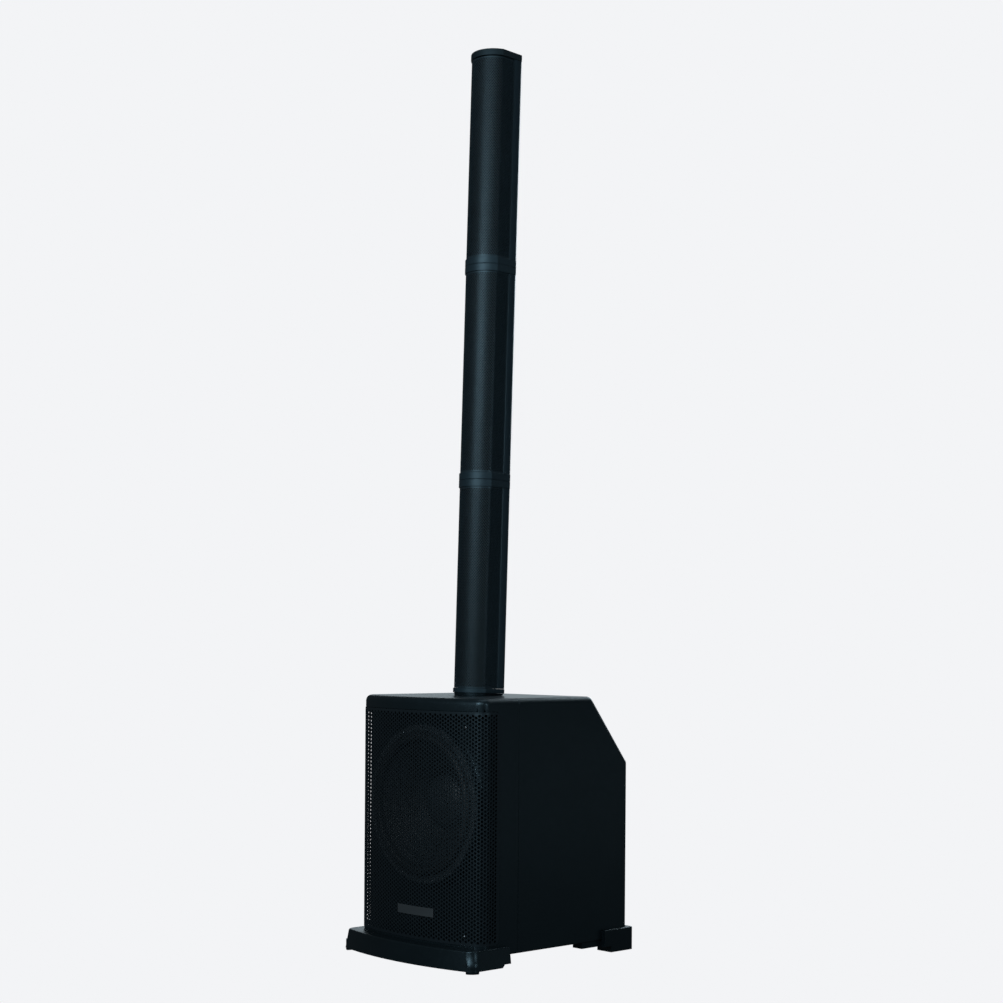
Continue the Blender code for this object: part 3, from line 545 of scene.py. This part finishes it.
def screws(name, radius, body, places, material=BLACK_STEEL):
    """One piece holding a screw head at each place, each turned a little differently."""
    head = screw_mesh(radius)
    parts = [(head, place @ Matrix.Rotation(0.7 * i, 4, "Z")) for i, place in enumerate(places)]
    return show(name, joined(parts), material, body)


# ---- cabinet

GRILLE_LOW, GRILLE_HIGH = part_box("sub_grille")
CABINET_PLAN = bowed_plan(
    GRILLE_HIGH.x, GRILLE_LOW.y, GRILLE_HIGH.y, CORNER_RADIUS + SHEET_PROUD, BOW_DEPTH, SHEET_PROUD
)
SHEET_THICKNESS = 0.0015
SEAM_EASING = 0.0015
GRILLE_SCREW_SIDE = 0.1435  # along the sheet, from its middle


def shells():
    """The two mouldings: the opening's rim and the seam between them are eased."""
    front_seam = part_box("front_shell")[1].y
    rear_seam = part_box("rear_shell")[0].y

    def on_seam(ends, seam):
        return all(abs(p.y - seam) < TINY for p in ends)

    def on_outline(point):
        return max(abs(point.x), abs(point.z - SEAM_MIDDLE)) > SEAM_REACH

    def front_rim(edge):
        ends = [v.co for v in edge.verts]
        if on_seam(ends, front_seam):
            return on_outline(ends[0])
        inside = all(p.y < GRILLE_HIGH.y + 0.002 for p in ends)
        level = all(GRILLE_LOW.z - 0.001 < p.z < GRILLE_HIGH.z + 0.001 for p in ends)
        beside = RING_RADIUS + 0.021
        outer = all(p.y < RING_LOW.y - 0.006 or abs(p.x) > beside for p in ends)
        return inside and level and outer

    def rear_rim(edge):
        ends = [v.co for v in edge.verts]
        return on_seam(ends, rear_seam) and on_outline(ends[0])

    refined("front_shell", MOULDING, front_rim, SEAM_EASING)
    refined("rear_shell", MOULDING, rear_rim, SEAM_EASING)
    for node in ("front_plinth", "rear_foot_left", "rear_foot_right"):
        refined(node, FOOT)


def sub_grille():
    """The bowed sheet, its four screws and the blank badge."""
    sheet = perforated(
        CABINET_PLAN, GRILLE_HIGH.z - GRILLE_LOW.z, pitch_u=0.0130, pitch_v=0.0075, hole=0.0028,
        sides=8, border=0.0034, corner=OPENING_RADIUS, thickness=SHEET_THICKNESS,
    )  # fmt: skip
    place = move(0, 0, GRILLE_LOW.z)
    show("sub_grille_sheet", sheet, SUB_SHEET, "cabinet", place, ("sub_grille",))
    middle = CABINET_PLAN.length / 2
    places = []
    for side in (-1, 1):
        for height in (GRILLE_LOW.z + 0.0165, GRILLE_HIGH.z - 0.030):
            point, normal = CABINET_PLAN.at(middle + side * GRILLE_SCREW_SIDE)
            places.append(axes((point.x, point.y, height), (0, 0, 1), (normal.x, normal.y, 0)))
    screws("grille_screws", 0.0032, "cabinet", places)
    refined("badge", BADGE, lambda edge: True, 0.0003, 2)


NECK_RADIUS = 0.0386  # the cone's face runs from here
CONE_RADIUS = 0.1216  # to here
DOME_RADIUS = 0.0540
DOME_ANGLE = 1.25
DOME_HEIGHT = 0.0155
FINE_STEPS = 128


def basket():
    """The woofer's frame, with windows between its six arms, and the ring's eight screws."""
    ring = RING_RADIUS
    profile = [
        (0.1440, -0.0001), (0.1455, 0), (0.1468, -0.0007), (0.1500, -0.0007), (0.1512, 0),
        (ring - 0.0012, 0), (ring - 0.0003, -0.0004), (ring, -0.0013), (ring, -0.0052),
        (0.1403, -0.0052), (0.1385, -0.020), (0.0905, -0.0885), (0.084, -0.098), (0.046, -0.098),
        (0.046, -0.0955), (0.060, -0.0955), (0.084, -0.087), (0.1340, -0.022), (0.1360, -0.0026),
        (0.1440, -0.0022),
    ]  # fmt: skip
    windows = []
    for i in range(3):
        window = slab(rectangle(0.2, 0.030, 0.008), -0.080, -0.027)
        windows.append((window, Matrix.Rotation(pi / 3 * i, 4, "Z")))
    body = cut(turned(profile, FINE_STEPS), windows)
    show("woofer_ring", body, BASKET, "cabinet", WOOFER, ("woofer_frame",))
    places = []
    for i in range(8):
        turn = Matrix.Rotation(pi / 4 * (i + 0.5), 4, "Z")
        places.append(WOOFER @ turn @ move(0.1484, 0, -0.0007))
    screws("woofer_screws", 0.0030, "cabinet", places)


def surround():
    """The rubber roll between the cone's rim and the ring."""
    angles = [pi * (1 - i / 12) for i in range(13)]
    roll = [(0.1310 + 0.0085 * cos(a), 0.0075 * sin(a) - 0.0005) for a in angles]
    front = [(0.1221, -0.0036), (0.1225, -0.0020)] + roll[1:]
    front += [(0.1402, -0.0004), (0.1436, -0.0003)]
    back = [(r, z - 0.0013) for r, z in reversed(front)]
    body = turned(front + back, FINE_STEPS)
    show("surround", body, RUBBER, "cabinet", WOOFER, ("woofer_surround",))


def paper_height(radius):
    """Height of the cone's face at a radius: steeper towards the neck, with shallow ribs."""
    t = (radius - NECK_RADIUS) / (CONE_RADIUS - NECK_RADIUS)
    rib = 0.0006 * (0.5 - 0.5 * cos(2 * pi * t * 5)) if 0.3 < t < 0.9 else 0
    return -0.0765 + 0.0730 * (1 - (1 - t) ** 1.12) - 0.0010 * sin(pi * t) + rib


def woofer_cone():
    """The paper cone with its voice coil's tube, and the dust cap."""
    radii = [NECK_RADIUS + (CONE_RADIUS - NECK_RADIUS) * i / 48 for i in range(49)]
    face = [(r, paper_height(r)) for r in radii]
    cone = face + [(r, z - 0.0011) for r, z in reversed(face)]
    cone += [(NECK_RADIUS, -0.114), (0.0373, -0.114), (0.0373, -0.0770)]
    body = turned(cone, FINE_STEPS)
    show("woofer_cone_paper", body, PAPER, "woofer_cone", WOOFER, ("woofer_cone",))

    foot = paper_height(DOME_RADIUS) + 0.0006
    least = cos(DOME_ANGLE)
    dome = []
    for a in [DOME_ANGLE * i / 12 for i in range(13)]:
        dome.append((DOME_RADIUS * sin(a), foot + DOME_HEIGHT * (cos(a) - least) / (1 - least)))
    scale = DOME_RADIUS / dome[-1][0]
    dome = [(r * scale, z) for r, z in dome]
    cap = dome + [(0.0552, foot - 0.0001), (0.0552, foot - 0.0009)]
    cap += [(r, z - 0.0009) for r, z in reversed(dome)]
    show("dust_cap", turned(cap, 96), CAP_PAPER, "woofer_cone", WOOFER)


def woofer():
    basket()
    surround()
    woofer_cone()
    refined("woofer_magnet", FERRITE)


# ---- column


# The near-black sheet behind the column's holes is painted shade, standing in for the dark inside of the column.
SHADE_SHEET_STEPS = 320
SHADE_SHEET_DEPTH = 0.0016  # from the sheet's face
SHADE_SHEET_THICKNESS = 0.0006
SHADE_SHEET_MARGIN = 0.002  # at each end of a section


def shade_sheet(plan, depth, thickness, rear, low, high):
    """A thin near-black sheet inside a sheet that follows the plan, in front of a given depth: painted shade
    behind the holes.
    """
    places = [plan.at(plan.length * i / SHADE_SHEET_STEPS) for i in range(SHADE_SHEET_STEPS + 1)]
    places = [(point, normal) for point, normal in places if point.y < rear]
    outer = [point - normal * depth for point, normal in places]
    inner = [point - normal * (depth + thickness) for point, normal in places]
    return slab(outer + inner[::-1], low, high)


def column_grilles():
    """A perforated sheet for each section, folded round the same plan, with a near-black sheet of painted shade
    behind its holes.
    """
    low, high = span("lower_grille", COLUMN)
    radius = ARC_RADIUS - GRILLE_INSET
    arc_centre = low.y + radius
    half = asin(high.x / radius)
    ease = FOLD_RADIUS * tan((pi / 2 - half) / 2)
    fold = arc(FOLD_RADIUS, pi / 2 - half + ease / radius)
    side = (high.y - arc_centre + radius * cos(half) - ease, 0)
    front = arc(radius, 2 * (half - ease / radius))
    plan = Plan((low.x, high.y), -pi / 2, [side, fold, front, fold, side])
    height = high.z - low.z
    sheet = perforated(
        plan, height, pitch_u=0.00517, pitch_v=0.0060, hole=0.00170,
        sides=8, border=0.0016, corner=0.001, thickness=0.0012,
    )  # fmt: skip
    rear = span("lower_driver_board", COLUMN)[0].y + 0.0028  # the seats stand out of the board
    top = height - SHADE_SHEET_MARGIN
    shade_backing = shade_sheet(plan, SHADE_SHEET_DEPTH, SHADE_SHEET_THICKNESS, rear, SHADE_SHEET_MARGIN, top)
    for name in SECTIONS:
        base = span(name + "_grille", COLUMN)[0].z
        place = COLUMN @ move(0, 0, base)
        body = name + "_section"
        # The near-black sheet behind the holes is painted shade.
        show(name + "_grille_painted_shade", shade_backing, PAINTED_SHADE_SHEET, body, place)
        show(name + "_grille_sheet", sheet, COLUMN_SHEET, body, place, (name + "_grille",))


def column_shell():
    """The socket, the collars and cap with their front ridges eased, housings and boards."""

    def ridge(edge):
        a, b = (COLUMN.inverted() @ v.co for v in edge.verts)
        upright = abs(a.x - b.x) + abs(a.y - b.y) < TINY
        return upright and min(abs(a.x), abs(b.x)) > 0.044 and max(a.y, b.y) < 0

    refined("column_socket", MOULDING, crease=40)
    for name in SECTIONS:
        top = name + ("_top_cap" if name == SECTIONS[-1] else "_top_collar")
        for node in (name + "_bottom_collar", top):
            material = CAP if node == "upper_top_cap" else COLLAR
            refined(node, material, ridge, 0.0006, 3, angle=15)
        refined(name + "_housing", HOUSING)
        refined(name + "_driver_board", DRIVER_BLACK)


def drivers():
    """A finely turned cone for each small driver, with a flange ring round it."""
    front = [(0.0, 0.0004), (0.0040, 0.0001), (0.0075, -0.0012), (0.0098, -0.0034)]
    front += [(0.0106, -0.0040), (0.0170, -0.0018), (0.0238, 0.0010), (0.0250, 0.0008)]
    for a in [pi * i / 8 for i in range(1, 8)]:
        front.append((0.0286 - 0.0034 * cos(a), 0.0004 + 0.0026 * sin(a)))
    front += [(0.0321, 0.0003)]
    cone = turned(front + [(r, z - 0.0008) for r, z in reversed(front)], 48)
    flange = [(0.0332, 0.0002), (0.0338, 0.0007), (0.0392, 0.0007), (0.0396, 0.0003)]
    flange += [(0.0396, -0.0004), (0.0332, -0.0004)]
    flange = turned(flange, 48)
    for name in SECTIONS:
        rings = []
        board_front = span(name + "_driver_board", COLUMN)[0].y
        for i in range(1, 5):
            node = "%s_cone_%d" % (name, i)
            low, high = span(node, COLUMN)
            seat = COLUMN @ move(0, board_front, (low.z + high.z) / 2)
            seat = seat @ Matrix.Rotation(pi / 2, 4, "X")
            show(node + "_paper", cone, DRIVER_PAPER, node, seat, (node,))
            rings.append((flange, seat))
        show(name + "_flanges", joined(rings), DRIVER_BLACK, name + "_section")


# ---- rear equipment


FLUTES = 16
PRINT_THICKNESS = 0.00012


def knobs():
    """Fluted knobs with a white pointer, each over a printed scale."""
    profile = [
        (0, 0.0140), (0.0066, 0.0140), (0.0074, 0.0136), (0.0079, 0.0128), (0.0085, 0.0090),
        (0.0091, 0.0042), (0.0100, 0.0026), (0.0110, 0.0020), (0.0112, 0.0014), (0.0112, 0.0),
        (0.0032, 0.0), (0.0032, -0.0120), (0, -0.0120),
    ]  # fmt: skip
    body = turned(profile, 96)
    for vert in body.vertices:
        reach = hypot(vert.co.x, vert.co.y)
        if 0.0040 < vert.co.z < 0.0130 and reach > 0.0070:
            flute = 0.5 + 0.5 * cos(FLUTES * atan2(vert.co.y, vert.co.x))
            vert.co.x *= 1 - 0.045 * flute
            vert.co.y *= 1 - 0.045 * flute
    pointer = slab(rectangle(0.0006, 0.0036, at=(0, -0.0042)), 0.0128, 0.0144)
    pointer = softened(pointer, 0.0002)
    ticks = []
    for i in range(11):  # from one limit of the turn to the other
        turn = Matrix.Rotation(radians(-140 + 28 * i), 4, "Z")
        long = 0.0011 if i % 5 else 0.0019
        tick = rectangle(0.0003, long / 2, at=(0, -0.0140 - long / 2))
        ticks.append((slab(tick, 0, PRINT_THICKNESS), turn))
    scale = joined(ticks)
    face = span("control_panel", SLOPE)[1].z
    scales = []
    for name in ("mic_1_knob", "mic_2_knob", "line_knob", "bass_knob", "master_knob"):
        joint = JOINTS[name + "_turn"]
        place = axes(joint["pos_m"], (1, 0, 0), joint["axis"])
        show(name + "_body", body, KNOB, name, place, (name,))
        show(name + "_pointer", pointer, PRINT, name, place)
        scales.append((scale, place @ move(0, 0, face)))
    show("knob_scales", joined(scales), PRINT, "cabinet")


SCREW_INSET = 0.007  # from a panel's edge


def control_panel():
    """The plate, its screws, two signal lights and the button."""
    refined("control_panel", PANEL, lambda edge: True, 0.0003, 2)
    low, high = span("control_panel", SLOPE)
    sides = (low.x + SCREW_INSET, high.x - SCREW_INSET)
    ends = (low.y + SCREW_INSET, high.y - SCREW_INSET)
    places = [SLOPE @ move(x, y, high.z) for x in sides for y in ends]
    places += [SLOPE @ move(x, 0.0, high.z) for x in sides]
    screws("panel_screws", 0.0028, "cabinet", places)
    profile = [(0, 0.0013), (0.0008, 0.0012), (0.0014, 0.0008), (0.0017, 0), (0, 0)]
    lens = turned(profile, 24)
    profile = [(0.0018, 0), (0.0018, 0.0006), (0.0022, 0.0008), (0.0027, 0.0006), (0.0029, 0)]
    bezel = turned(profile, 24)
    button = SLOPE.inverted() @ centre("pair_button")
    lamps = (("signal_light", -0.096, GREEN_LIGHT), ("limit_light", -0.084, RED_LIGHT))
    for name, x, material in lamps:
        place = SLOPE @ move(x, button.y, high.z)
        show(name, lens, material, "cabinet", place)
        show(name + "_bezel", bezel, SOCKET, "cabinet", place)
    low, high = span("pair_button", SLOPE)
    profile = [(0, high.z), (0.0030, high.z), (0.0040, high.z - 0.0002), (0.0045, high.z - 0.0008)]
    profile += [(0.0045, low.z), (0, low.z)]
    place = SLOPE @ move((low.x + high.x) / 2, (low.y + high.y) / 2, 0)
    show("pair_button_cap", turned(profile, 48), KNOB, "pair_button", place, ("pair_button",))


CONTACTS = [(0.0052 * cos(a), 0.0052 * sin(a)) for a in map(radians, (90, 210, 330))]


def amplifier():
    """The rear plate with its heatsink, sockets, inlet, switch and port."""
    refined("amp_plate", PANEL)
    refined("heatsink", ANODISED, lambda edge: edge.calc_length() > 0.1, 0.0005, 2)
    low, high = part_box("amp_plate")
    rear = axes((0, high.y, 0), (-1, 0, 0), (0, 1, 0))
    places = []
    for x in (low.x + SCREW_INSET, 0, high.x - SCREW_INSET):
        for z in (low.z + SCREW_INSET, high.z - SCREW_INSET):
            places.append(rear @ move(-x, z, 0))
    screws("plate_screws", 0.0028, "cabinet", places)
    fixings = []
    for name in ("combo_jack_1", "combo_jack_2", "link_jack"):
        refined(name, SOCKET, lambda edge: True, 0.0003, 2)
        low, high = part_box(name)
        middle = (low + high) / 2
        face = rear @ move(-middle.x, middle.z, high.y - rear.translation.y)
        fixings += [face @ move(s * 0.0098, s * 0.0122, -0.0002) for s in (-1, 1)]
        holes = [circle(0.0034, 24)]
        if name != "link_jack":
            holes += [circle(0.0014, 16, at) for at in CONTACTS]
        insert = slab(circle(0.0101, 48), 0, 0.0030, holes)
        bottom = face @ move(0, 0, -0.0215)
        show(name + "_insert", softened(insert, 0.0002, 1), SOCKET, "cabinet", bottom)
        pin = turned([(0, 0.0026), (0.0009, 0.0024), (0.0011, 0.0018), (0.0011, 0), (0, 0)], 20)
        pins = [(pin, bottom @ move(*at, 0.0002)) for at in CONTACTS]
        show(name + "_contacts", joined(pins), BRASS, "cabinet")
    screws("socket_screws", 0.0019, "cabinet", fixings, STEEL)

    refined("power_inlet", SOCKET, lambda edge: True, 0.0003, 2)
    low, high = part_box("power_inlet")
    middle = (low + high) / 2
    face = rear @ move(-middle.x, middle.z, low.y - rear.translation.y)
    blade = softened(slab(rectangle(0.0010, 0.0020), 0, 0.0160), 0.0004)
    spots = ((-0.007, -0.0015), (0, 0.0022), (0.007, -0.0015))
    blades = [(blade, face @ move(x, z, 0.0026)) for x, z in spots]
    show("inlet_pins", joined(blades), STEEL, "cabinet")
    places = [face @ move(s * 0.0205, 0, high.y - low.y) for s in (-1, 1)]
    screws("inlet_screws", 0.0020, "cabinet", places, STEEL)

    refined("power_switch", SOCKET, lambda edge: True, 0.0004, 2)
    refined("amp_board", BOARD)
    refined("port_tube", MOULDING, crease=50)


# ---- floor, lights and camera

BACKDROP = (0.896, 0.904, 0.922)


def floor():
    """A pale floor that fades into the backdrop and doesn't light the object."""
    level = CAD_BOX[0].z
    half = 30
    corners = [(-half, -half), (half, -half), (half, half), (-half, half)]
    mesh = bpy.data.meshes.new("floor")
    mesh.from_pydata([(x, y, level) for x, y in corners], [], [(0, 1, 2, 3)])
    material = bpy.data.materials.new("pale_floor")
    material.use_nodes = True
    shader = material.node_tree.nodes["Principled BSDF"]
    shader.inputs["Base Color"].default_value = (0, 0, 0, 1)
    shader.inputs["Roughness"].default_value = 1
    shader.inputs["Specular IOR Level"].default_value = 0
    shader.inputs["Emission Color"].default_value = (*BACKDROP, 1)
    shader.inputs["Emission Strength"].default_value = 1
    mesh.materials.append(material)
    obj = bpy.data.objects.new("floor", mesh)
    bpy.context.scene.collection.objects.link(obj)
    obj.visible_diffuse = False
    obj.visible_glossy = False


def backdrop():
    """The camera sees an even pale backdrop, and the object is lit by a dim room."""
    world = bpy.data.worlds.new("studio")
    bpy.context.scene.world = world
    world.use_nodes = True
    nodes, links = world.node_tree.nodes, world.node_tree.links
    nodes.clear()
    output = nodes.new("ShaderNodeOutputWorld")
    mix = nodes.new("ShaderNodeMixShader")
    path = nodes.new("ShaderNodeLightPath")
    seen = nodes.new("ShaderNodeBackground")
    seen.inputs["Color"].default_value = (*BACKDROP, 1)
    room = nodes.new("ShaderNodeBackground")
    room.inputs["Color"].default_value = (0.80, 0.92, 1.0, 1)
    room.inputs["Strength"].default_value = 0.045
    links.new(path.outputs["Is Camera Ray"], mix.inputs["Fac"])
    links.new(room.outputs["Background"], mix.inputs[1])
    links.new(seen.outputs["Background"], mix.inputs[2])
    links.new(mix.outputs["Shader"], output.inputs["Surface"])


def area_light(name, place, aim, size, power, colour=(1, 1, 1)):
    light = bpy.data.lights.new(name, "AREA")
    light.shape = "RECTANGLE"
    light.size, light.size_y = size
    light.energy = power
    light.color = colour
    obj = bpy.data.objects.new(name, light)
    bpy.context.scene.collection.objects.link(obj)
    obj.location = place
    obj.rotation_euler = (Vector(aim) - Vector(place)).to_track_quat("-Z", "Y").to_euler()


def lights():
    cool = (0.80, 0.93, 1.0)
    area_light("front_box", (0.80, -2.92, 1.92), (0, 0, 1.15), (1.7, 0.8), 48, cool)
    area_light("right_box", (2.3, -2.3, 2.6), (0, 0, 1.2), (1.0, 0.8), 9, cool)
    area_light("rear_wall", (-2.6, 2.6, 1.2), (0, 0, 0.8), (2.6, 2.2), 14, cool)
    area_light("overhead", (0.0, 0.4, 3.4), (0, 0, 0.8), (2.4, 2.4), 14, cool)
    area_light("rear_fill", (-0.6, 3.4, 2.1), (0, 0, 0.6), (1.8, 1.4), 70, cool)
    area_light("right_low", (2.7, 2.3, 0.10), (0.1, 0.1, 0.12), (1.8, 0.5), 0.6, cool)
    area_light("front_glint", (-0.14, -4.0, 1.30), (0, 0, 0.5), (0.3, 0.2), 6, cool)
    area_light("right_glint", (3.6, -0.10, 1.35), (0, 0, 0.5), (0.3, 0.4), 11, cool)


def camera():
    """A long lens, held level, with the horizon below the middle of the frame."""
    cam = bpy.data.cameras.new("camera")
    cam.sensor_width = 36
    cam.lens = 64.92
    cam.shift_y = 0.1407
    obj = bpy.data.objects.new("camera", cam)
    bpy.context.scene.collection.objects.link(obj)
    heading = radians(46.64)
    forward = Vector((-sin(heading), cos(heading), 0))
    right = Vector((cos(heading), sin(heading), 0))
    roll = radians(0.41)
    across = right * cos(roll) + Vector((0, 0, sin(roll)))
    obj.matrix_world = axes((2.6744, -2.4845, 0.6203), across, -forward)
    bpy.context.scene.camera = obj


shells()
sub_grille()
woofer()
column_grilles()
column_shell()
drivers()
knobs()
control_panel()
amplifier()
floor()
backdrop()
lights()
camera()
bpy.context.scene.view_settings.view_transform = "Standard"
